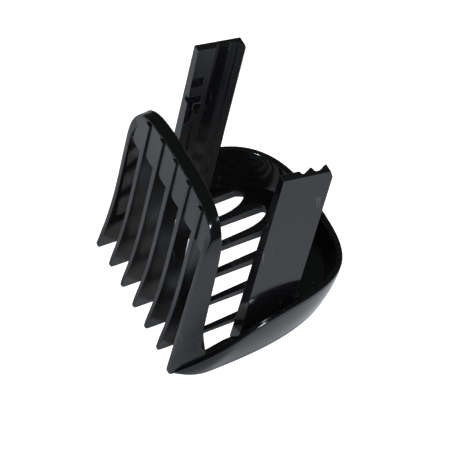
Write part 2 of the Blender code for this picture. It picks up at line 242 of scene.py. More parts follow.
def rounded(obj: bpy.types.Object, width: float, segments: int = 3, angle: float = 28.0) -> None:
    """Round an object's sharp edges and shade it smooth.

    Args:
        obj: the object.
        width: the width of the rounding.
        segments: how many faces the rounding has.
        angle: the angle between faces, in degrees, from which their edge is rounded.
    """
    bevel = obj.modifiers.new("edge_round", "BEVEL")
    bevel.width = width
    bevel.segments = segments
    bevel.limit_method = "ANGLE"
    bevel.angle_limit = math.radians(angle)
    bevel.use_clamp_overlap = True
    obj.data.shade_smooth()
    weighted = obj.modifiers.new("flat_faces", "WEIGHTED_NORMAL")
    weighted.mode = "FACE_AREA"
    weighted.weight = FLAT_FACE_WEIGHT


def everything(bm: bmesh.types.BMesh) -> list[Element]:
    """Every vertex, edge and face of a mesh."""
    return list(bm.verts) + list(bm.edges) + list(bm.faces)


def cut_away(
    bm: bmesh.types.BMesh, geom: list[Element], point: Vector, normal: Vector
) -> list[bmesh.types.BMEdge]:
    """Cut away what lies beyond a plane.

    Args:
        bm: the mesh.
        geom: the vertices, edges and faces to cut.
        point: a point of the plane.
        normal: the plane's normal, towards what goes.

    Returns:
        The open edges along the cut.
    """
    cut = bmesh.ops.bisect_plane(bm, geom=geom, plane_co=point, plane_no=normal, clear_outer=True)
    return [e for e in cut["geom_cut"] if isinstance(e, bmesh.types.BMEdge)]


def booleaned(obj: bpy.types.Object, others: Iterable[bmesh.types.BMesh], operation: str) -> None:
    """Apply a Boolean with each of the other solids to an object's mesh.

    Args:
        obj: the object.
        others: the solids, which are freed.
        operation: the Boolean's operation.
    """
    for other in others:
        tool = as_object("tool", other)
        modifier = obj.modifiers.new("boolean", "BOOLEAN")
        modifier.operation = operation
        modifier.object = tool
        bpy.context.view_layer.update()
        evaluated = obj.evaluated_get(bpy.context.evaluated_depsgraph_get())
        mesh = bpy.data.meshes.new_from_object(evaluated)
        obj.modifiers.clear()
        old = obj.data
        obj.data = mesh
        mesh.name = obj.name
        bpy.data.meshes.remove(old)
        bpy.data.objects.remove(tool, do_unlink=True)


# ---------------------------------------------------------------------------------------------
# Finishes


def new_group(name: str, inputs: dict[str, float], outputs: Iterable[str]) -> bpy.types.NodeTree:
    """Start a shader node group that has a Vector input.

    Args:
        name: the group's name.
        inputs: its float inputs, with their defaults.
        outputs: its float outputs.

    Returns:
        The group's tree.
    """
    tree = bpy.data.node_groups.new(name, "ShaderNodeTree")
    tree.interface.new_socket("Vector", in_out="INPUT", socket_type="NodeSocketVector")
    for label, value in inputs.items():
        socket = tree.interface.new_socket(label, in_out="INPUT", socket_type="NodeSocketFloat")
        socket.default_value = value
    for label in outputs:
        tree.interface.new_socket(label, in_out="OUTPUT", socket_type="NodeSocketFloat")
    return tree


def add(tree: bpy.types.NodeTree, kind: str, links: dict[str, object], **settings: object) -> bpy.types.Node:
    """Add a node.

    Args:
        tree: the node tree that it goes into.
        kind: the node's type.
        links: for each input, by name or number, a socket to link or a value to set.
        settings: attributes of the node.

    Returns:
        The node.
    """
    node = tree.nodes.new(kind)
    for key, value in settings.items():
        setattr(node, key, value)
    for key, value in links.items():
        socket = node.inputs[int(key[1:])] if key.startswith("#") else node.inputs[key]
        if isinstance(value, bpy.types.NodeSocket):
            tree.links.new(value, socket)
        else:
            socket.default_value = value
    return node


def grain_group() -> bpy.types.NodeTree:
    """Make the fine moulded grain.

    Returns:
        A group with a height, and a roughness mask in patches 50 times as wide as the grain.
    """
    tree = new_group("moulded_grain", {"Scale": 4000.0}, ("Height", "Mask"))
    source, out = tree.nodes.new("NodeGroupInput"), tree.nodes.new("NodeGroupOutput")
    place, scale = source.outputs["Vector"], source.outputs["Scale"]
    fine = add(tree, "ShaderNodeTexNoise", {"Vector": place, "Scale": scale, "Detail": 3.0})
    patch_scale = add(tree, "ShaderNodeMath", {"#0": scale, "#1": 0.02}, operation="MULTIPLY")
    patches = add(tree, "ShaderNodeTexNoise", {"Vector": place, "Scale": patch_scale.outputs[0]})
    tree.links.new(fine.outputs["Fac"], out.inputs["Height"])
    tree.links.new(patches.outputs["Fac"], out.inputs["Mask"])
    return tree


def scratch_group() -> bpy.types.NodeTree:
    """Make short hairline scratches that run mostly one way.

    Returns:
        A group with a mask of the scratches.
    """
    tree = new_group("hairline_scratches", {"Density": 0.5}, ("Mask",))
    source, out = tree.nodes.new("NodeGroupInput"), tree.nodes.new("NodeGroupOutput")
    place = source.outputs["Vector"]
    masks = []
    for turn, squeeze in ((0.25, (900.0, 900.0, 40.0)), (-0.6, (1100.0, 1100.0, 60.0))):
        turned = add(
            tree, "ShaderNodeMapping", {"Vector": place, "Rotation": (0.1, turn, 0.2), "Scale": squeeze}
        )
        lines = add(tree, "ShaderNodeTexNoise", {"Vector": turned.outputs[0], "Scale": 1.0, "Detail": 1.0})
        crests = {"Value": lines.outputs["Fac"], "From Min": 0.70, "From Max": 0.78}
        masks.append(add(tree, "ShaderNodeMapRange", crests).outputs[0])
    both = add(tree, "ShaderNodeMath", {"#0": masks[0], "#1": masks[1]}, operation="MAXIMUM").outputs[0]
    patches = add(tree, "ShaderNodeTexNoise", {"Vector": place, "Scale": 90.0, "Detail": 1.0}).outputs["Fac"]
    density = source.outputs["Density"]
    bare = add(tree, "ShaderNodeMath", {"#0": 1.0, "#1": density}, operation="SUBTRACT").outputs[0]
    marked = add(tree, "ShaderNodeMath", {"#0": patches, "#1": bare}, operation="GREATER_THAN").outputs[0]
    final = add(tree, "ShaderNodeMath", {"#0": both, "#1": marked}, operation="MULTIPLY")
    tree.links.new(final.outputs[0], out.inputs["Mask"])
    return tree


def edge_group() -> bpy.types.NodeTree:
    """Make the edges' lighter colour: partly wear from handling, partly painted highlight that stands in for
    the thin lines of light along them.

    Returns:
        A group with a mask of the edges.
    """
    tree = new_group("edge_wear_and_highlight", {"Strength": 0.5}, ("Mask",))
    source, out = tree.nodes.new("NodeGroupInput"), tree.nodes.new("NodeGroupOutput")
    facing = tree.nodes.new("ShaderNodeNewGeometry").outputs["Normal"]
    # Painted highlight: this lightens the colour along every rounded edge, where light draws thin bright
    # lines; part of it is real wear.
    soft = add(tree, "ShaderNodeBevel", {"Radius": 0.0003}, samples=4).outputs[0]
    turn = add(tree, "ShaderNodeVectorMath", {"#0": soft, "#1": facing}, operation="DOT_PRODUCT")
    turned = {"Value": turn.outputs["Value"], "From Min": 0.985, "From Max": 0.90}
    edge = add(tree, "ShaderNodeMapRange", turned).outputs[0]
    place = source.outputs["Vector"]
    broken = add(tree, "ShaderNodeTexNoise", {"Vector": place, "Scale": 700.0, "Detail": 2.0}).outputs["Fac"]
    patchy = add(tree, "ShaderNodeMath", {"#0": edge, "#1": broken}, operation="MULTIPLY").outputs[0]
    strength = source.outputs["Strength"]
    final = add(tree, "ShaderNodeMath", {"#0": patchy, "#1": strength}, operation="MULTIPLY")
    tree.links.new(final.outputs[0], out.inputs["Mask"])
    return tree


@dataclass(frozen=True)
class Plastic:
    """A finish of the black plastic."""

    name: str
    colour: tuple[float, float, float]
    # Colour of the scratches, which is real wear, and of the edges, which is partly wear and partly painted
    # highlight.
    wear_and_highlight_colour: tuple[float, float, float]
    roughness: float
    roughness_spread: float
    grain_height: float
    grain_scale: float
    scratches: float
    scratch_density: float
    # How much the edges are lightened: partly wear, partly painted highlight.
    edge_wear_and_highlight: float = 0.35
    ior: float = 1.48
    wear_roughening: float = 0.25
    scratch_depth: float = -0.6

    def build(self, groups: dict[str, bpy.types.NodeTree]) -> bpy.types.Material:
        """Make the material.

        Args:
            groups: the shared effects, by name.

        Returns:
            The material.
        """
        material = bpy.data.materials.new(self.name)
        material.use_nodes = True
        tree = material.node_tree
        shader = tree.nodes["Principled BSDF"]
        shader.inputs["IOR"].default_value = self.ior
        place = tree.nodes.new("ShaderNodeTexCoord").outputs["Object"]

        def effect(name: str, **values: float) -> bpy.types.Node:
            """Place a shared effect.

            Args:
                name: the effect's name.
                values: its inputs' values.

            Returns:
                The group's node.
            """
            node = add(tree, "ShaderNodeGroup", {}, node_tree=groups[name])
            tree.links.new(place, node.inputs["Vector"])
            for label, value in values.items():
                node.inputs[label].default_value = value
            return node

        grain = effect("grain", Scale=self.grain_scale)
        scratch = effect("scratches", Density=self.scratch_density).outputs["Mask"]
        edges = effect("edges", Strength=self.edge_wear_and_highlight).outputs["Mask"]
        scratched = add(tree, "ShaderNodeMath", {"#0": scratch, "#1": self.scratches}, operation="MULTIPLY")
        # The mask joins the scratches, real wear, with the edges' lighter colour, which is partly wear and
        # partly painted highlight.
        marked = add(tree, "ShaderNodeMath", {"#0": scratched.outputs[0], "#1": edges}, operation="MAXIMUM")
        wear_and_highlight = marked.outputs[0]
        colours = {"#0": wear_and_highlight, "#6": (*self.colour, 1.0), "#7": (*self.wear_and_highlight_colour, 1.0)}
        tint = add(tree, "ShaderNodeMix", colours, data_type="RGBA")
        tree.links.new(tint.outputs[2], shader.inputs["Base Color"])
        smoothest, roughest = self.roughness - self.roughness_spread, self.roughness + self.roughness_spread
        patches = {"Value": grain.outputs["Mask"], "From Min": 0.3, "From Max": 0.7}
        spread = add(tree, "ShaderNodeMapRange", {**patches, "To Min": smoothest, "To Max": roughest})
        rough = add(
            tree, "ShaderNodeMath", {"#0": wear_and_highlight, "#1": self.wear_roughening, "#2": spread.outputs[0]},
            operation="MULTIPLY_ADD", use_clamp=True,
        )
        tree.links.new(rough.outputs[0], shader.inputs["Roughness"])
        height = add(
            tree, "ShaderNodeMath", {"#0": scratch, "#1": self.scratch_depth, "#2": grain.outputs["Height"]},
            operation="MULTIPLY_ADD",
        )
        relief = {"Height": height.outputs[0], "Strength": 1.0, "Distance": self.grain_height}
        bump = add(tree, "ShaderNodeBump", relief)
        tree.links.new(bump.outputs["Normal"], shader.inputs["Normal"])
        return material


@dataclass(frozen=True)
class Finishes:
    """Every finish that the comb uses."""

    gloss: bpy.types.Material
    satin: bpy.types.Material
    panel: bpy.types.Material
    matt: bpy.types.Material

    @staticmethod
    def build() -> "Finishes":
        """Make the shared effects and the finishes.

        Returns:
            The finishes.
        """
        groups = {"grain": grain_group(), "scratches": scratch_group(), "edges": edge_group()}
        gloss = Plastic(
            "polished_black", colour=(0.004, 0.004, 0.0042), wear_and_highlight_colour=(0.11, 0.11, 0.115),
            roughness=0.08, roughness_spread=0.02, grain_height=0.0000008, grain_scale=5200.0,
            scratches=0.25, scratch_density=0.42,
        )
        satin = Plastic(
            "satin_black", colour=(0.005, 0.005, 0.0055), wear_and_highlight_colour=(0.12, 0.12, 0.125),
            roughness=0.12, roughness_spread=0.03, grain_height=0.000002, grain_scale=4200.0,
            scratches=0.40, scratch_density=0.50,
        )
        panel = Plastic(
            "panel_black", colour=(0.005, 0.005, 0.005), wear_and_highlight_colour=(0.10, 0.10, 0.10),
            roughness=0.22, roughness_spread=0.05, grain_height=0.000003, grain_scale=3600.0,
            scratches=0.25, scratch_density=0.45,
        )
        matt = Plastic(
            "matt_black", colour=(0.006, 0.006, 0.0062), wear_and_highlight_colour=(0.09, 0.09, 0.092),
            roughness=0.36, roughness_spread=0.06, grain_height=0.000003, grain_scale=3600.0,
            scratches=0.30, scratch_density=0.45,
        )
        return Finishes(gloss.build(groups), satin.build(groups), panel.build(groups), matt.build(groups))


def dress(obj: bpy.types.Object, material: bpy.types.Material, nodes: Iterable[str]) -> None:
    """Give a piece its finish, and let it stand for its nodes.

    Args:
        obj: the piece.
        material: its finish.
        nodes: the CAD nodes that it stands for.
    """
    obj.data.materials.clear()
    obj.data.materials.append(material)
    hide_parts(*nodes)
    logger.info("piece %s stands for %s", obj.name, ", ".join(nodes))


# ---------------------------------------------------------------------------------------------
# The toothed front


@dataclass
class ToothedFront:
    """The teeth, the crest over them and the webs between them."""

    finishes: Finishes
    count: int = 7
    pitch: float = 0.0075
    front_top: float = 0.00205
    front_lean: float = 0.0003
    front_bow: float = 0.0022
    bow_height: float = 0.024
    near_front: tuple[float, float] = (-0.00045, 0.0012)
    rear_foot: float = 0.0074
    rear_top: float = 0.0058
    thick_foot: float = 0.0013
    thick_top: float = 0.0019
    taper_height: float = 0.050
    tooth_round: float = 0.00014
    outer_thick: float = 0.0016
    nose_radius: float = 0.0010
    nose_half: float = 0.00035
    nose_lift: float = 0.0002
    nose_level: float = 0.0012
    edge_steps: tuple[float, ...] = (0.0018, 0.0040, 0.0060, 0.0085, 0.0110, 0.0140, 0.0180, 0.0240)
    facet_level: float = 0.002
    facet_ceiling: float = 0.0125
    facet_height: float = 0.0039
    facet_reach: float = 0.0060
    foot_fillet: float = 0.0018
    fillet_end: float = 256.0
    outer_fillet: tuple[float, float] = (0.0028, 0.0090)
    outer_fillet_start: float = 0.7
    outer_fillet_power: float = 2.6
    bar_height: float = 0.0007
    sole_drop: float = 0.0003
    leg_top: float = 0.0422
    matt_top: float = 0.0385
    flare_slope: float = 0.37
    flare_run: float = 0.0055
    flare_start: float = 0.0012
    foot_steps: tuple[float, ...] = (
        -0.0020, -0.0010, -0.0006, -0.0002, 0.0003, 0.0007, 0.0012, 0.0020, 0.0030, 0.0040, 0.0050, 0.0060,
        0.0070, 0.0080, 0.0090, 0.0100, 0.0115, 0.0130, 0.0160, 0.0200, 0.0250, 0.0310, 0.0370,
    )
    foot_trim: float = 0.0001
    arch_steps: int = 72
    arch_half_width: float = 0.0235
    arch_low: float = 0.0380
    arch_top: float = 0.0546
    arch_power: float = 3.3
    crest_front: float = 0.0030
    crest_rear: float = 0.0058
    crest_thick: float = 0.0034
    crest_rise: float = 0.0015
    crest_run: float = 0.16
    crest_round: float = 0.00030
    corner_cut: float = 0.3
    arch_round: float = 0.00010
    web_bottom: float = 0.0418
    web_drop: float = 5.0
    web_front: float = 0.0029
    web_back: float = 0.0037
    web_thick: float = 0.0008
    web_round: float = 0.0019
    web_border: float = 0.0004
    web_inset: float = 0.0007
    web_step: float = 0.0001
    web_gap: float = 0.0002
    web_shoulder: tuple[float, float] = (0.0425, 0.0440)
    web_edge_round: float = 0.00016
    web_steps: int = 18
    pad_thick: float = 0.0009
    notch: float = 0.0007
    notch_power: int = 4
    notch_share: float = 0.7
    side_facing: float = 0.95
    outer_facing: float = 0.8

    def tooth_y(self, number: int) -> float:
        """Width position of tooth 1, at the far side, to the last one."""
        return ((self.count + 1) / 2 - number) * self.pitch

    def front_at(self, height: float, number: int) -> float:
        """Depth of a tooth's front edge: hollow towards the tip, straight on the last tooth.

        Args:
            height: the height along the tooth.
            number: the tooth's number.

        Returns:
            The depth.
        """
        if number == self.count:
            return mix(self.near_front[0], self.near_front[1], height / self.leg_top)
        bow = max(0.0, 1 - height / self.bow_height)
        return self.front_top + self.front_lean * height / self.leg_top - self.front_bow * bow * bow

    def rear_at(self, height: float) -> float:
        """Depth of a tooth's straight rear edge at a height."""
        return mix(self.rear_foot, self.rear_top, height / self.taper_height)

    def half_at(self, height: float) -> float:
        """Half of a tooth's thickness at a height."""
        return mix(self.thick_foot, self.thick_top, height / self.taper_height) / 2

    def facet(
        self, bm: bmesh.types.BMesh, y: float, half: float, side: float, number: int, ceiling: float = 1.0
    ) -> None:
        """Cut the slanted facet off one side of a tooth's foot.

        Args:
            bm: the tooth, in the leaned frame.
            y: the width position of its middle plane.
            half: the distance from that plane to the side.
            side: the side, as the sign of the width.
            number: the tooth's number.
            ceiling: faces that reach above this height are left alone.
        """
        high = Vector((self.front_at(self.facet_height, number), y + side * half, self.facet_height))
        floor = LEANED.sole_height(self.facet_reach) - self.sole_drop
        rear = Vector((self.facet_reach, y + side * half, floor))
        nose = Vector((self.front_at(0, number), y + side * (half - self.nose_half), -self.sole_drop))
        normal = (rear - high).cross(nose - high).normalized()
        if normal.y * side < 0:
            normal = -normal
        faces = [
            f for f in bm.faces
            if max(v.co.z for v in f.verts) < ceiling and abs(f.verts[0].co.y - y) < self.pitch / 2
        ]
        # Dictionaries keep their order, which sets of mesh elements don't.
        verts = dict.fromkeys(v for f in faces for v in f.verts)
        edges = dict.fromkeys(e for f in faces for e in f.edges)
        geom = [*verts, *edges, *faces]
        bmesh.ops.edgeloop_fill(bm, edges=cut_away(bm, geom, high, normal))
        bmesh.ops.recalc_face_normals(bm, faces=bm.faces)

    def side_outline(self, number: int, top: float) -> list[Vector]:
        """A tooth seen from the side: rounded nose, hollow front, and a fillet into its bar.

        Args:
            number: the tooth's number.
            top: the height that it ends at.

        Returns:
            The outline's points, in the leaned frame's middle plane.
        """
        radius = self.nose_radius
        nose_height = radius + self.nose_lift - self.sole_drop
        nose = Vector((self.front_at(self.nose_level, number) + radius, 0, nose_height))
        along, up = Vector((radius, 0, 0)), Vector((0, 0, radius))
        outline = arc(nose, along, up, 270 + math.degrees(LEANED.lean), 180, 8)
        outline += [Vector((self.front_at(h, number), 0, h)) for h in (*self.edge_steps, top)]
        outline.append(Vector((self.rear_at(top), 0, top)))
        fillet = self.foot_fillet
        floor = LEANED.sole_height(self.rear_foot + fillet) + self.bar_height
        centre = Vector((self.rear_at(floor + fillet) + fillet, 0, floor + fillet))
        outline += arc(centre, Vector((fillet, 0, 0)), Vector((0, 0, fillet)), 180, self.fillet_end, 6)
        underside = LEANED.sole_height(centre.x) + self.nose_lift - self.sole_drop
        outline.append(Vector((centre.x, 0, underside)))
        return outline

    def leg(self, number: int, top: float) -> bmesh.types.BMesh:
        """A leg from its tip up to the crest.

        Args:
            number: the tooth's number.
            top: the height that it ends at.

        Returns:
            A closed bmesh in the model's frame.
        """
        y = self.tooth_y(number)
        # The slab is 1 thick only to tell its two sides apart; each then goes to its true width.
        bm = slab(self.side_outline(number, top), Vector((0, 1.0, 0)))
        for vert in bm.verts:
            vert.co.y = y + math.copysign(self.half_at(vert.co.z), vert.co.y - 0.5)
        for side in (-1.0, 1.0):
            self.facet(bm, y, self.half_at(self.facet_level), side, number)
        bm.transform(LEANED.matrix())
        return bm

    def build_tooth(self, number: int) -> None:
        """Make a tooth.

        Args:
            number: the tooth's number.
        """
        y = self.tooth_y(number)
        top = self.crest_edge(abs(y) + self.thick_top / 2) - self.notch * self.notch_share
        obj = as_object(f"tooth_{number}_moulding", self.leg(number, top))
        rounded(obj, self.tooth_round, 2, 30.0)
        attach(obj, COMB_BODY)
        dress(obj, self.finishes.gloss, [f"tooth_{number}"])
        obj.data.materials.append(self.finishes.panel)
        for face in obj.data.polygons:
            face.material_index = 1 if abs(face.normal.y) > self.side_facing else 0

    def arch_height(self, width: float) -> float:
        """Height of the crest's outer line.

        Args:
            width: the width position, either side of the middle.

        Returns:
            The height along the teeth.
        """
        share = min(abs(width) / self.arch_half_width, 1.0)
        rise = (1 - share**self.arch_power) ** (1 / self.arch_power)
        return self.arch_low + (self.arch_top - self.arch_low) * rise

    def arch_level(self, width: float) -> float:
        """How level the crest's outer line is.

        Args:
            width: the width position, either side of the middle.

        Returns:
            1 where it is level, at its top, towards 0 where it is upright, at its feet.
        """
        near_by = 0.0001
        fall = self.arch_height(abs(width)) - self.arch_height(abs(width) + near_by)
        return 1 / math.hypot(1.0, fall / near_by)

    def crest_edge(self, width: float) -> float:
        """Height of the front edge of the crest's sloping top."""
        return self.arch_height(width) - self.crest_rise * self.arch_level(width)

    def arch_path(self, steps: int) -> list[tuple[float, float, float]]:
        """The arch's outer line from the near foot to the far one.

        Args:
            steps: how many steps the arch takes between its two feet.

        Returns:
            Stations, as width, height and how much of the crest's section each has.
        """
        path = [(-self.arch_half_width, h, 0.0) for h in self.foot_steps]
        power = 2 / self.arch_power
        for i in range(steps + 1):
            angle = math.pi * i / steps
            cos, sin = math.cos(angle), math.sin(angle)
            across = -math.copysign(abs(cos) ** power, cos) * self.arch_half_width
            height = self.arch_low + (self.arch_top - self.arch_low) * abs(sin) ** power
            path.append((across, height, smooth(min(i, steps - i) / (steps * self.crest_run))))
        path += [(self.arch_half_width, h, 0.0) for h in reversed(self.foot_steps)]
        return path

    def arch_section(self, here: tuple[float, float, float], normal: Vector) -> list[Vector]:
        """The arch's section: an outer tooth's at its feet and the crest bar's at its top.

        Args:
            here: a station of the arch's path.
            normal: the unit vector into the arch at that station.

        Returns:
            The section's points, in the leaned frame.
        """
        width, height, crest = here
        number = 1 if width > 0 else self.count
        outer = Vector((0, width, height))
        round_off = min(max(0.0, 1 - (height + self.sole_drop) / self.nose_radius), 1.0)
        nose = self.nose_radius * (1 - math.sqrt(1 - round_off * round_off))
        front = mix(self.front_at(height, number) + nose, self.crest_front, crest)
        spread, run = self.outer_fillet
        foot = max(0.0, 1 - max(height - self.facet_height * self.outer_fillet_start, 0.0) / run)
        rear = mix(self.rear_at(height) + spread * foot**self.outer_fillet_power, self.crest_rear, crest)
        side_thick = mix(self.outer_thick, self.thick_top, height / self.leg_top)
        slope = self.crest_rise * crest * max(-normal.z, 0.0) ** 2
        inner = outer + normal * mix(side_thick, self.crest_thick, crest)
        top_front = outer + normal * slope
        soft = self.crest_round
        softer = soft * self.corner_cut
        lip = normal * soft
        corner = lip * self.corner_cut
        depth = Vector((1, 0, 0))
        sloping_top = [
            outer + normal * (slope * (1 - share)) + depth * (front * (1 - share) + rear * share)
            for share in (0.25, 0.50, 0.75)
        ]
        return [
            inner - lip + depth * front, top_front + lip + depth * front,
            top_front + corner + depth * (front + softer), top_front + depth * (front + soft),
            *sloping_top, outer + depth * (rear - soft),
            outer + corner + depth * (rear - softer), outer + lip + depth * rear,
            inner - lip + depth * rear, inner - corner + depth * (rear - softer),
            inner + depth * (rear - soft), inner + depth * (front + soft),
            inner - corner + depth * (front + softer),
        ]

    def flared(self, point: Vector) -> Vector:
        """Move a point of an outer tooth's outer face out to the skirt's rim, which it runs down into.

        Args:
            point: a point of the arch's section, in the leaned frame.

        Returns:
            The moved point, or the same one away from the outer faces.
        """
        if abs(point.y) < self.arch_half_width - self.outer_thick / 2:
            return point
        placed = LEANED.matrix() @ point
        depth = max(placed.x - LEANED.tip_plane, self.flare_start)
        share = 1 - smooth((placed.z - rim_height(depth)) / self.flare_run)
        out = self.flare_slope * (depth - self.flare_start) * share
        return point + Vector((0, math.copysign(out, point.y), 0))

    def build_arch(self) -> None:
        """Make the crest with the two outer teeth that it turns down into."""
        path = self.arch_path(self.arch_steps)
        sections = []
        for i, here in enumerate(path):
            before, after = path[max(i - 1, 0)], path[min(i + 1, len(path) - 1)]
            along = Vector((0, after[0] - before[0], after[1] - before[1])).normalized()
            normal = Vector((0, along.z, -along.y))
            sections.append([self.flared(point) for point in self.arch_section(here, normal)])
        bm = loft(sections)
        inner = self.tooth_y(1) - self.arch_half_width + self.outer_thick
        self.facet(bm, self.tooth_y(1), inner, -1.0, 1, ceiling=self.facet_ceiling)
        self.facet(bm, self.tooth_y(self.count), inner, 1.0, self.count, ceiling=self.facet_ceiling)
        bm.transform(LEANED.matrix())
        foot = Vector((0, 0, self.foot_trim - self.sole_drop))
        bmesh.ops.edgenet_fill(bm, edges=cut_away(bm, everything(bm), foot, Vector((0, 0, -1))))
        bmesh.ops.recalc_face_normals(bm, faces=bm.faces)
        obj = as_object("crest_and_outer_teeth", bm)
        rounded(obj, self.arch_round, 2, 35.0)
        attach(obj, COMB_BODY)
        dress(obj, self.finishes.gloss, ["crest_bar", "tooth_1", f"tooth_{self.count}"])
        obj.data.materials.append(self.finishes.matt)
        for face in obj.data.polygons:
            outward = face.normal.y * math.copysign(1.0, face.center.y)
            low_outer_face = outward > self.outer_facing and face.center.z < self.matt_top
            face.material_index = 1 if low_outer_face else 0

    def web_outline(self, number: int, grow: float) -> list[Vector]:
        """The outline of a web's pad in width and height.

        Args:
            number: the web's number, counted from the far side.
            grow: how far the lower edge stands outside the pad's.

        Returns:
            Points from the near lower corner up, over the scalloped top and down the far side.
        """
        far_y, near_y = self.tooth_y(number), self.tooth_y(number + 1)
        middle = (far_y + near_y) / 2
        half = self.half_at(self.web_bottom)
        far, near = far_y - half, near_y + half
        low = self.web_bottom - self.web_drop * middle * middle - grow
        radius = self.web_round + grow
        side, up = Vector((0, radius, 0)), Vector((0, 0, radius))
        near_corner, far_corner = near - grow, far + grow
        outline = arc(Vector((0, far_corner - radius, low + radius)), side, up, 0, -90, 8)
        outline += arc(Vector((0, near_corner + radius, low + radius)), -up, -side, 0, 90, 8)
        top_near, top_far = near, far
        edge_width = self.arch_half_width - self.web_inset
        if number == self.count - 1:
            outline += [Vector((0, -edge_width, h)) for h in self.web_shoulder]
            top_near = -edge_width + self.web_step
        if number == 1:
            top_far = edge_width - self.web_step
        for i in range(self.web_steps + 1):
            y = mix(top_near, top_far, i / self.web_steps)
            off_middle = abs(2 * (y - middle) / (far - near))
            dip = self.notch * min(off_middle, 1.0) ** self.notch_power
            outer_side = (number == 1 and y > middle) or (number == self.count - 1 and y < middle)
            if outer_side:
                dip = 0.0
            outline.append(Vector((0, y, self.crest_edge(y) - self.web_gap - dip)))
        if number == 1:
            outline += [Vector((0, edge_width, h)) for h in reversed(self.web_shoulder)]
        return outline

    def build_web(self, number: int) -> None:
        """Make the pad between a tooth and the next, on its thinner web.

        Args:
            number: the web's number, counted from the far side.
        """
        pad = (self.web_front, 0.0, self.pad_thick)
        web = (self.web_back, self.web_border, self.web_thick)
        made = []
        for front, grow, thick in (pad, web):
            outline = [p + Vector((front, 0, 0)) for p in self.web_outline(number, grow)]
            bm = slab(outline, Vector((thick, 0, 0)))
            bm.transform(LEANED.matrix())
            made.append(bm)
        obj = as_object(f"web_{number}_panel", joined(*made))
        rounded(obj, self.web_edge_round, 2, 35.0)
        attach(obj, COMB_BODY)
        dress(obj, self.finishes.panel, [f"web_{number}"])

    def build(self) -> None:
        """Make the whole toothed front."""
        for number in range(2, self.count):
            self.build_tooth(number)
        self.build_arch()
        for number in range(1, self.count):
            self.build_web(number)


# ---------------------------------------------------------------------------------------------
# The bowl


@dataclass(frozen=True)
class Outline:
    """Half of the skirt's plan outline, from its front end to its rearmost point."""

    reach: float
    fullest: float
    half_width: float
    roundness: float
    front_half_width: float
    fullness: float
    start: float = 0.0012
    front_run: float = 0.35

    def at(self, share: float) -> Vector:
        """A point of the half outline.

        Args:
            share: how far round the half outline it lies, from 0 to 1.

        Returns:
            Its depth and its distance from the middle.
        """
        if share < self.front_run:
            run = share / self.front_run
            depth = self.start + (self.fullest - self.start) * run
            width = self.half_width - (self.half_width - self.front_half_width) * (1 - run) ** self.fullness
            return Vector((depth, width))
        angle = math.pi / 2 * (share - self.front_run) / (1 - self.front_run)
        depth = self.fullest + (self.reach - self.fullest) * math.sin(angle) ** (2 / self.roundness)
        return Vector((depth, self.half_width * math.cos(angle) ** (2 / self.roundness)))

    def whole(self, steps: int) -> list[Vector]:
        """The whole outline from the near front end round the rear to the far one.

        Args:
            steps: how many steps each half takes.

        Returns:
            The points, as depth and width.
        """
        half = [self.at(i / steps) for i in range(steps + 1)]
        near = [Vector((p.x, -p.y)) for p in half]
        return near + half[-2::-1]


def inward(points: list[Vector], index: int) -> Vector:
    """The direction into the bowl, square to an outline.

    Args:
        points: the outline.
        index: which of its points.

    Returns:
        A unit vector in plan.
    """
    along = (points[min(index + 1, len(points) - 1)] - points[max(index - 1, 0)]).normalized()
    return Vector((-along.y, along.x))


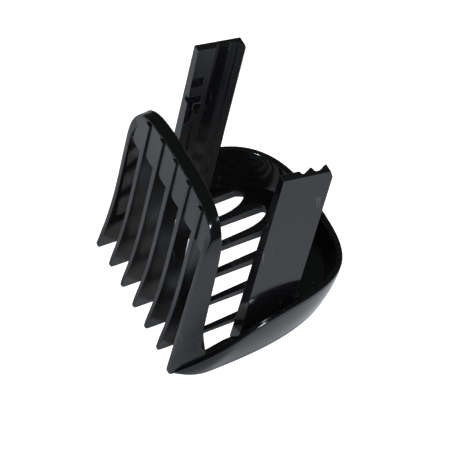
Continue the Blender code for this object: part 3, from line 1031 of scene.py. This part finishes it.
@dataclass
class Bowl:
    """The skirt round the bowl, the sole ring inside it and the gussets."""

    finishes: Finishes
    sole: Outline = Outline(0.0534, 0.0105, 0.0277, 2.75, 0.0240, 2.3)
    rim: Outline = Outline(0.0548, 0.0183, 0.0292, 3.10, 0.0240, 2.1)
    wall: float = 0.0017
    wall_tip: float = 0.0006
    full_wall_at: float = 0.0095
    foot_radius: float = 0.0012
    foot_shares: tuple[float, float] = (0.6, 0.35)
    lip_radius: float = 0.00045
    lip_shares: tuple[float, float] = (0.4, 0.2)
    bulge: float = 0.0004
    bulge_full_at: float = 0.008
    wall_steps: int = 8
    wall_inset: float = 0.55
    ring_height: float = 0.0027
    sill_inner: float = 0.0216
    sill_margin: float = 0.0001
    bar_from: float = 0.0135
    bar_width: float = 0.0013
    bar_widening: float = 0.041
    bar_height: float = 0.0009
    bar_rise: float = 0.049
    landing_before: float = 0.0050
    landing_run: float = 0.0055
    drop_run: float = 0.0040
    sole_end: float = 0.0480
    sole_cuts: int = 14
    sole_start: float = 0.0062
    slot_reach: float = 0.0474
    slot_curve: float = 10.3
    slot_setback: float = 0.0065
    slot_mouth: float = 0.0018
    slot_mouth_run: float = 0.0120
    slot_start: float = 0.0040
    slot_corner: float = 0.0010
    slot_sweep: float = 0.0085
    slot_probe: float = 0.0015
    short_slots: int = 2
    sole_round: float = 0.00022
    steps: int = 96

    def wall_at(self, depth: float) -> float:
        """Thickness of the wall at a depth."""
        share = (depth - self.sole.start) / (self.full_wall_at - self.sole.start)
        return mix(self.wall_tip, self.wall, share)

    def section(self, sole: list[Vector], rim: list[Vector], index: int) -> list[Vector]:
        """The skirt's section, round its foot, outer face, rim and inner face.

        Args:
            sole: the foot's outline.
            rim: the rim's outline.
            index: the station, as an index into both outlines.

        Returns:
            The section's points, in the model's frame.
        """
        foot, lip = sole[index], rim[index]
        top = rim_height(lip.x)
        foot_in, lip_in = inward(sole, index), inward(rim, index)
        wall_foot, wall_lip = self.wall_at(foot.x), self.wall_at(lip.x)
        foot_round = min(self.foot_radius, wall_foot * self.foot_shares[0], top * self.foot_shares[1])
        lip_round = min(self.lip_radius, wall_lip * self.lip_shares[0], top * self.lip_shares[1])

        def place(point: Vector, height: float) -> Vector:
            """A plan point at a height, in the model's frame."""
            return Vector((point.x + LEANED.tip_plane, point.y, height))

        section = []
        for angle in quarter_turn(5):
            inset = foot_round * (1 - math.sin(angle))
            section.append(place(foot + foot_in * inset, foot_round * (1 - math.cos(angle))))
        for i in range(1, self.wall_steps):
            share = i / self.wall_steps
            bulge = self.bulge * math.sin(math.pi * share)
            point = foot.lerp(lip, share) - foot_in * bulge * min(1.0, top / self.bulge_full_at)
            section.append(place(point, mix(foot_round, top - lip_round, share)))
        for angle in quarter_turn(4):
            inset = lip_in * lip_round * (1 - math.cos(angle))
            section.append(place(lip + inset, top - lip_round * (1 - math.sin(angle))))
        inner_lip = lip + lip_in * wall_lip
        for angle in reversed(quarter_turn(4)):
            inset = lip_in * lip_round * (1 - math.cos(angle))
            section.append(place(inner_lip - inset, top - lip_round * (1 - math.sin(angle))))
        inner_foot = foot + foot_in * wall_foot
        floor = min(self.ring_height, top * 0.5)
        for i in range(1, self.wall_steps + 1):
            share = i / self.wall_steps
            section.append(place(inner_lip.lerp(inner_foot, share), mix(top - lip_round, floor, share)))
        section.append(place(inner_foot, 0.0))
        return section

    def build_skirt(self) -> None:
        """Make the skirt."""
        sole, rim = self.sole.whole(self.steps), self.rim.whole(self.steps)
        sections = [self.section(sole, rim, i) for i in range(len(sole))]
        obj = as_object("bowl_skirt", loft(sections))
        obj.data.shade_smooth()
        obj.data.set_sharp_from_angle(angle=math.radians(60.0))
        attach(obj, COMB_BODY)
        dress(obj, self.finishes.gloss, ["skirt_wall"])

    def slot_end(self, width: float) -> float:
        """Depth of the arc that the slots end on."""
        return self.slot_reach - self.slot_curve * width * width

    def bar_half(self, depth: float) -> float:
        """Half of a runner bar's width at a depth."""
        return (self.bar_width + self.bar_widening * (depth - self.bar_from)) / 2

    def on_sill(self, width: float) -> bool:
        """Whether a width lies on a side sill."""
        return abs(width) > self.sill_inner - self.sill_margin

    def top_at(self, depth: float, width: float) -> float:
        """Height of the sole's upper face: low along the bars, full on the sills and the landing.

        Args:
            depth: the depth behind the tooth tips.
            width: the width position.

        Returns:
            The height.
        """
        if self.on_sill(width):
            return self.ring_height
        bar = self.bar_height + self.bar_rise * (depth - self.bar_from)
        past = depth - self.slot_end(width) + self.landing_before
        return mix(bar, self.ring_height, smooth(past / self.landing_run))

    def drop_share(self, depth: float) -> float:
        """How far the bars still stand below the skirt at a depth, from 1 to 0."""
        return 1 - smooth((depth - self.slot_reach) / self.drop_run)

    def slot_outline(self, front: ToothedFront, number: int) -> list[Vector]:
        """A slot between two bars, whose rear end sweeps round towards the outer side.

        Args:
            front: the toothed front, which says where the bars run.
            number: the slot's number, counted from the far side.

        Returns:
            The outline's points in plan. The slots on the near side end sooner.
        """
        far_y, near_y = front.tooth_y(number), front.tooth_y(number + 1)
        middle = (far_y + near_y) / 2
        outwards = 1.0 if middle > 0 else -1.0
        outer_y, inner_y = (far_y, near_y) if middle > 0 else (near_y, far_y)
        beside_sill = number in (1, front.count - 1)
        is_short = number > front.count - 1 - self.short_slots
        ends = self.slot_end(outer_y) - (self.slot_setback if is_short else 0.0)
        outer = outer_y - outwards * self.bar_half(ends - self.slot_probe)
        if beside_sill:
            outer = outwards * self.sill_inner
        start, corner, sweep_x = self.slot_start, self.slot_corner, self.slot_sweep
        sweep_y = abs(outer - inner_y) - corner - self.bar_half(ends - sweep_x)
        tip = Vector((ends, outer - outwards * corner, 0))
        back, across = Vector((1, 0, 0)), Vector((0, outwards, 0))
        outline = [Vector((start, outer_y - outwards * self.bar_half(start), 0))]
        if beside_sill:
            outline[0].y = outer + outwards * self.slot_mouth
            outline.append(Vector((start + self.slot_mouth_run, outer, 0)))
        outline += arc(tip - back * corner, across * corner, back * corner, 0, 90, 6)
        outline += arc(tip - back * sweep_x, back * sweep_x, -across * sweep_y, 0, 90, 10)[1:]
        outline.append(Vector((start, inner_y + outwards * self.bar_half(start), 0)))
        return outline

    def build_sole(self, front: ToothedFront) -> None:
        """Make the sole: runner bars, sills and landing, left by the six slots.

        Args:
            front: the toothed front, which says where the bars run.
        """
        sole = self.sole.whole(self.steps)
        into_wall = self.wall * self.wall_inset
        into_model = Vector((LEANED.tip_plane, 0, 0))
        outline = [
            (p + inward(sole, i) * into_wall).to_3d() + into_model
            for i, p in enumerate(sole) if p.x > self.sole_start
        ]
        obj = as_object("sole_and_bars", slab(outline, Vector((0, 0, self.ring_height))))
        below, through = Vector((0, 0, 0.001)), Vector((0, 0, self.ring_height + 0.002))
        cutters = []
        for number in range(1, front.count):
            shifted = [p + into_model - below for p in self.slot_outline(front, number)]
            cutters.append(slab(shifted, through))
        booleaned(obj, cutters, "DIFFERENCE")
        bm = bmesh.new()
        bm.from_mesh(obj.data)
        for i in range(1, self.sole_cuts):
            depth = mix(self.sole_start, self.sole_end, i / self.sole_cuts)
            place = (LEANED.tip_plane + depth, 0, 0)
            bmesh.ops.bisect_plane(bm, geom=everything(bm), plane_co=place, plane_no=(1, 0, 0))
        for vert in bm.verts:
            depth = vert.co.x - LEANED.tip_plane
            if vert.co.z > self.ring_height / 2:
                vert.co.z = self.top_at(depth, vert.co.y)
            elif not self.on_sill(vert.co.y):
                vert.co.z = -front.sole_drop * self.drop_share(depth)
        bmesh.ops.recalc_face_normals(bm, faces=bm.faces)
        bm.to_mesh(obj.data)
        bm.free()
        rounded(obj, self.sole_round, 2, 35.0)
        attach(obj, COMB_BODY)
        bars = [f"runner_bar_{number}" for number in range(2, front.count)]
        dress(obj, self.finishes.gloss, ["sole_ring", *bars])

    def dress_gusset(self, label: str) -> None:
        """Give a CAD gusset, whose shape is right, the gloss finish.

        Args:
            label: the side's name in the node's name.
        """
        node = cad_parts[f"gusset_{label}"]
        node.data.materials.clear()
        node.data.materials.append(self.finishes.gloss)

    def build(self, front: ToothedFront) -> None:
        """Make the bowl.

        Args:
            front: the toothed front, which says where the bars run.
        """
        self.build_skirt()
        self.build_sole(front)
        for label in ("near", "far"):
            self.dress_gusset(label)


# ---------------------------------------------------------------------------------------------
# The arms


@dataclass(frozen=True)
class Pocket:
    """A recess with rounded corners in an arm's inner panel, in the leaned frame."""

    front: float
    rear: float
    low: float
    high: float
    depth: float
    radius: float = 0.0001


POCKETS = {
    "window": Pocket(0.0173, 0.0206, 0.0533, 0.0564, 0.0014),
    "hook": Pocket(0.0171, 0.0209, 0.0484, 0.0502, 0.0014),
    "channel": Pocket(0.0174, 0.0191, 0.0412, 0.0490, 0.0010),
    "notch": Pocket(0.0198, 0.0209, 0.0440, 0.0490, 0.0009),
    "run": Pocket(0.0182, 0.0203, 0.0304, 0.0420, 0.0004, 0.0010),
}


@dataclass
class Arm:
    """One arm, from its foot in the bowl to its clipped top."""

    side: Side
    finishes: Finishes
    front: float = 0.0172
    rear: float = 0.0310
    outer: float = 0.0247
    top: float = 0.0656
    thick_root: float = 0.0040
    thick_top: float = 0.0022
    rail_floor: float = 0.0012
    rail_crest: float = 0.0028
    corner: tuple[float, float] = (0.0009, 0.0020)
    foot: float = 0.0022
    foot_chamfer: float = 0.0008
    foot_chamfer_normal: tuple[float, float] = (0.0070, -0.0010)
    root_steps: tuple[float, ...] = (0.0060, 0.0090, 0.0130, 0.0170)
    blade_start: float = 0.0180
    blade_steps: int = 26
    below_foot: float = 0.002
    cutter_margin: float = 0.001
    edge_round: float = 0.00014
    inner_facing: float = 0.9
    bend: tuple[float, float] = (0.0150, 0.0260)

    @property
    def label(self) -> str:
        """The side's name in node and body names."""
        return self.side.name.lower()

    def panel_at(self, height: float) -> float:
        """Thickness of the panel at a height."""
        share = (height + self.below_foot) / (self.top + self.below_foot)
        return mix(self.thick_root, self.thick_top, share)

    def outline(self, height: float) -> list[Vector]:
        """The arm's section at a height, with its V rails and the channels beside them.

        Args:
            height: the height along the arm.

        Returns:
            The section's points, in the leaned frame.
        """
        panel = self.panel_at(height)
        low, crest = self.rail_floor, self.rail_crest
        outer_face = [(self.front, 0.0), (0.0200, 0.0), (0.0240, 0.0), (0.0280, 0.0), (self.rear, 0.0)]
        rear_rail = [
            (self.rear, 0.0014), (0.03085, crest - 0.0003), (0.03045, crest), (0.03005, crest - 0.0001),
            (0.0288, 0.0021), (0.0286, 0.0018),
        ]
        groove = [(0.02735, low), (0.02655, low), (0.0263, low + 0.0002)]
        front_rail = [
            (0.02610, crest - 0.0004), (0.0258, crest - 0.0001), (0.02550, crest - 0.0003),
            (0.02365, low + 0.0002),
        ]
        channel = [(0.02335, low), (0.02300, low), (0.02275, low + 0.0002)]
        panel_face = [(0.02260, panel - 0.0002), (0.02235, panel), (0.0198, panel), (self.front, panel)]
        profile = outer_face + rear_rail + groove + front_rail + channel + panel_face
        sign = self.side.value
        return [Vector((depth, sign * (self.outer - thick), height)) for depth, thick in profile]

    def pockets(self) -> list[bmesh.types.BMesh]:
        """The solids that sink the pockets into the panel."""
        return [self.pocket_cutter(pocket) for pocket in POCKETS.values()]

    def pocket_cutter(self, pocket: Pocket) -> bmesh.types.BMesh:
        """The solid that sinks a pocket below the panel's face.

        Args:
            pocket: the pocket.

        Returns:
            A closed bmesh, in the leaned frame.
        """
        sign, radius = self.side.value, pocket.radius
        face = self.outer - self.panel_at((pocket.low + pocket.high) / 2)
        y = sign * (face - self.cutter_margin)
        across, up = Vector((radius, 0, 0)), Vector((0, 0, radius))
        front, rear = pocket.front + radius, pocket.rear - radius
        low, high = pocket.low + radius, pocket.high - radius
        outline = arc(Vector((rear, y, high)), across, up, 0, 90, 4)
        outline += arc(Vector((front, y, high)), up, -across, 0, 90, 4)
        outline += arc(Vector((front, y, low)), -across, -up, 0, 90, 4)
        outline += arc(Vector((rear, y, low)), -up, across, 0, 90, 4)
        return slab(outline, Vector((0, sign * (self.cutter_margin + pocket.depth), 0)))

    def cuts(self) -> list[tuple[Vector, Vector]]:
        """The planes that clip the arm's top corner, level its foot and chamfer the foot's outer edge.

        Returns:
            For each plane a point and the normal towards what goes, in the leaned frame.
        """
        level = Matrix.Rotation(-LEANED.lean, 3, "Y")
        sign = self.side.value
        across, down = self.foot_chamfer_normal
        return [
            (Vector((self.rear - self.corner[0], 0, self.top)), Vector((self.corner[1], 0, self.corner[0]))),
            (level @ Vector((0, 0, self.foot)), level @ Vector((0, 0, -1))),
            (
                level @ Vector((0, sign * (self.outer - self.foot_chamfer), self.foot)),
                level @ Vector((0, sign * across, down)),
            ),
        ]

    def build(self) -> None:
        """Make the arm."""
        blade = [mix(self.blade_start, self.top, i / self.blade_steps) for i in range(self.blade_steps + 1)]
        bm = loft([self.outline(height) for height in (*self.root_steps, *blade)])
        for point, normal in self.cuts():
            bmesh.ops.edgeloop_fill(bm, edges=cut_away(bm, everything(bm), point, normal))
        bmesh.ops.recalc_face_normals(bm, faces=bm.faces)
        obj = as_object(f"arm_{self.label}_moulding", bm)
        booleaned(obj, self.pockets(), "DIFFERENCE")
        obj.data.transform(LEANED.matrix())
        rounded(obj, self.edge_round, 2, 35.0)
        members = ("arm_root", "arm_blade", "rail_front", "rail_rear")
        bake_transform(obj)
        dress(obj, self.finishes.satin, [f"{member}_{self.label}" for member in members])
        obj.data.materials.append(self.finishes.matt)
        for face in obj.data.polygons:
            is_inner = face.normal.y * self.side.value < -self.inner_facing
            face.material_index = 1 if is_inner else 0
        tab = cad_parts[f"detent_tab_{self.label}"]
        tab.data.materials.clear()
        tab.data.materials.append(self.finishes.gloss)


# ---------------------------------------------------------------------------------------------
# The studio


@dataclass
class Studio:
    """The pale floor, the soft light and the camera."""

    aim: tuple[float, float, float] = (-0.00138, -0.00266, 0.02258)
    distance: float = 0.52294
    azimuth: float = math.radians(-24.315)
    elevation: float = math.radians(51.059)
    roll: float = math.radians(-1.668)
    focal: float = 165.03
    sensor: float = 36.0
    floor_size: float = 6.0
    floor_drop: float = 0.0003
    floor_colour: tuple[float, float, float] = (0.80, 0.80, 0.82)
    floor_lift: float = 0.84
    floor_glow: float = 0.07
    room_colour: tuple[float, float, float] = (0.055, 0.060, 0.055)
    spark_colour: tuple[float, float, float] = (0.82, 0.90, 1.0)

    def build_camera(self) -> None:
        """Make the camera."""
        data = bpy.data.cameras.new("camera")
        data.lens = self.focal
        data.sensor_width = self.sensor
        data.clip_start = 0.01
        data.clip_end = 20.0
        camera = bpy.data.objects.new("camera", data)
        bpy.context.scene.collection.objects.link(camera)
        back = Vector((
            math.sin(self.azimuth) * math.cos(self.elevation),
            -math.cos(self.azimuth) * math.cos(self.elevation),
            math.sin(self.elevation),
        ))
        level = Vector((0, 0, 1)).cross(back).normalized()
        upward = back.cross(level)
        right = level * math.cos(self.roll) + upward * math.sin(self.roll)
        turned = upward * math.cos(self.roll) - level * math.sin(self.roll)
        place = Vector(self.aim) + back * self.distance
        camera.matrix_world = Matrix.Translation(place) @ Matrix((right, turned, back)).transposed().to_4x4()
        bpy.context.scene.camera = camera

    def build_floor(self) -> None:
        """Make the floor."""
        bm = bmesh.new()
        bmesh.ops.create_grid(bm, x_segments=1, y_segments=1, size=self.floor_size / 2)
        bmesh.ops.translate(bm, verts=bm.verts, vec=(0, 0, -self.floor_drop))
        floor = as_object("studio_floor", bm)
        material = bpy.data.materials.new("pale_floor")
        material.use_nodes = True
        tree = material.node_tree
        shader = tree.nodes["Principled BSDF"]
        shader.inputs["Base Color"].default_value = (*self.floor_colour, 1)
        shader.inputs["Roughness"].default_value = 0.9
        shader.inputs["Specular IOR Level"].default_value = 0.0
        seen = tree.nodes.new("ShaderNodeLightPath")
        glow = {"#0": seen.outputs["Is Camera Ray"], "#1": self.floor_lift, "#2": self.floor_glow}
        lift = add(tree, "ShaderNodeMath", glow, operation="MULTIPLY_ADD")
        shader.inputs["Emission Color"].default_value = (1, 1, 1, 1)
        tree.links.new(lift.outputs[0], shader.inputs["Emission Strength"])
        floor.data.materials.append(material)

    def sun(self, name: str, azimuth: float, elevation: float, strength: float, spread: float) -> None:
        """A soft far lamp that lights the floor evenly and leaves no mirror image.

        Args:
            name: the lamp's name.
            azimuth: its azimuth, in degrees.
            elevation: its elevation, in degrees.
            strength: its strength.
            spread: how wide it looks from the comb, in degrees.
        """
        data = bpy.data.lights.new(name, "SUN")
        data.energy = strength
        data.angle = math.radians(spread)
        lamp = bpy.data.objects.new(name, data)
        bpy.context.scene.collection.objects.link(lamp)
        lamp.rotation_euler = (math.radians(90 - elevation), 0, math.radians(azimuth))
        lamp.visible_glossy = False

    def spark(
        self, name: str, azimuth: float, elevation: float, distance: float, size: float, watts: float
    ) -> None:
        """A small cool lamp that faces the comb, whose mirror image sparkles on corners.

        Args:
            name: the lamp's name.
            azimuth: its azimuth, in degrees.
            elevation: its elevation, in degrees.
            distance: its distance from the model's origin.
            size: its diameter.
            watts: its power.
        """
        data = bpy.data.lights.new(name, "AREA")
        data.shape = "DISK"
        data.size = size
        data.energy = watts
        data.color = self.spark_colour
        lamp = bpy.data.objects.new(name, data)
        bpy.context.scene.collection.objects.link(lamp)
        turn, rise = math.radians(azimuth), math.radians(elevation)
        level = math.cos(rise)
        towards = Vector((math.sin(turn) * level, -math.cos(turn) * level, math.sin(rise)))
        facing = towards.to_track_quat("Z", "Y").to_matrix().to_4x4()
        lamp.matrix_world = Matrix.Translation(towards * distance) @ facing

    def build(self) -> None:
        """Make the studio."""
        self.build_camera()
        self.build_floor()
        world = bpy.data.worlds.new("dim_room")
        world.use_nodes = True
        world.node_tree.nodes["Background"].inputs["Color"].default_value = (*self.room_colour, 1)
        bpy.context.scene.world = world
        self.sun("key", azimuth=66.0, elevation=37.0, strength=1.65, spread=12.0)
        self.sun("fill", azimuth=-20.0, elevation=75.0, strength=0.22, spread=90.0)
        self.spark("ring_flash", azimuth=-24.3, elevation=55.0, distance=0.53, size=0.050, watts=1.5)
        bpy.context.scene.view_settings.view_transform = "Standard"


def main() -> None:
    """Build the comb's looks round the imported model."""
    logging.basicConfig(level=logging.INFO)
    Studio().build()
    finishes = Finishes.build()
    front = ToothedFront(finishes)
    front.build()
    Bowl(finishes).build(front)
    for side in Side:
        Arm(side, finishes).build()


if __name__ == "__main__":
    main()
